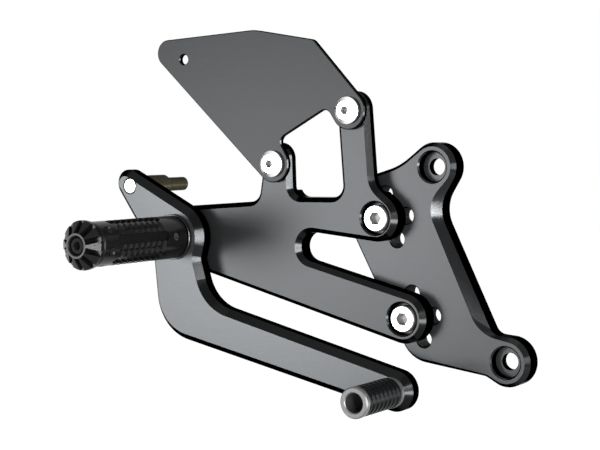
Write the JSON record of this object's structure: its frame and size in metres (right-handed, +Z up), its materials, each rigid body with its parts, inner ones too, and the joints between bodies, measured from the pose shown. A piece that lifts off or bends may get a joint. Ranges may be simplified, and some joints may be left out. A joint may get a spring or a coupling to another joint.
{
  "type": "motorcycle rear set footrest",
  "caption": "Right-hand rear set: drilled frame plate, footrest hanger with heel guard, fixed gripped footpeg, and a brake lever with toe peg that turns on the peg's pivot.",
  "frame": {"origin": "on the upper frame bolt's axis, in the back face of the frame plate (the face that lies on the motorcycle's frame)", "axes": "+X forward along the motorcycle, +Y in towards the motorcycle, +Z up"},
  "size_m": [0.2338, 0.1232, 0.1868],
  "materials": {
    "frame_plate_anodised": "satin black anodised, milled",
    "hanger_anodised": "satin black anodised, fine brushed face",
    "guard_anodised": "satin black anodised sheet",
    "lever_anodised": "satin black anodised",
    "footpeg_anodised": "black anodised, machined grip",
    "toe_core_anodised": "grey anodised, turned",
    "plated_screw": "bright zinc plated",
    "black_screw": "black oxide",
    "plain_steel": "turned, bright",
    "bush_bronze": "turned bronze",
    "olive_plated_steel": "olive plated, turned",
    "toe_rubber": "matt black, moulded"
  },
  "bodies": {
    "footrest": {"frame_plate": "frame_plate_anodised", "hanger_plate": "hanger_anodised", "hanger_screw_upper": "plated_screw", "hanger_screw_lower": "plated_screw", "heel_guard": "guard_anodised", "heel_guard_screw_rear": "plated_screw", "heel_guard_screw_front": "plated_screw", "pivot_sleeve": "plain_steel", "pivot_washer": "plain_steel", "footpeg_bolt": "plated_screw", "footpeg": "footpeg_anodised", "footpeg_grub_screw": "plated_screw", "footpeg_cap": "footpeg_anodised", "footpeg_cap_screw": "black_screw"},
    "lever": {"brake_lever": "lever_anodised", "lever_bush_outer": "bush_bronze", "lever_bush_inner": "bush_bronze", "clevis_stud": "olive_plated_steel", "toe_peg_core": "toe_core_anodised", "toe_peg_rubber": "toe_rubber", "toe_peg_screw": "black_screw"}
  },
  "joints": [
    {"name": "brake_lever_pivot", "type": "hinge", "parent": "footrest", "child": "lever", "pos_m": [-0.141, -0.0295, -0.0381], "axis": [0, 1, 0], "range_deg": [0, 15]}
  ]
}
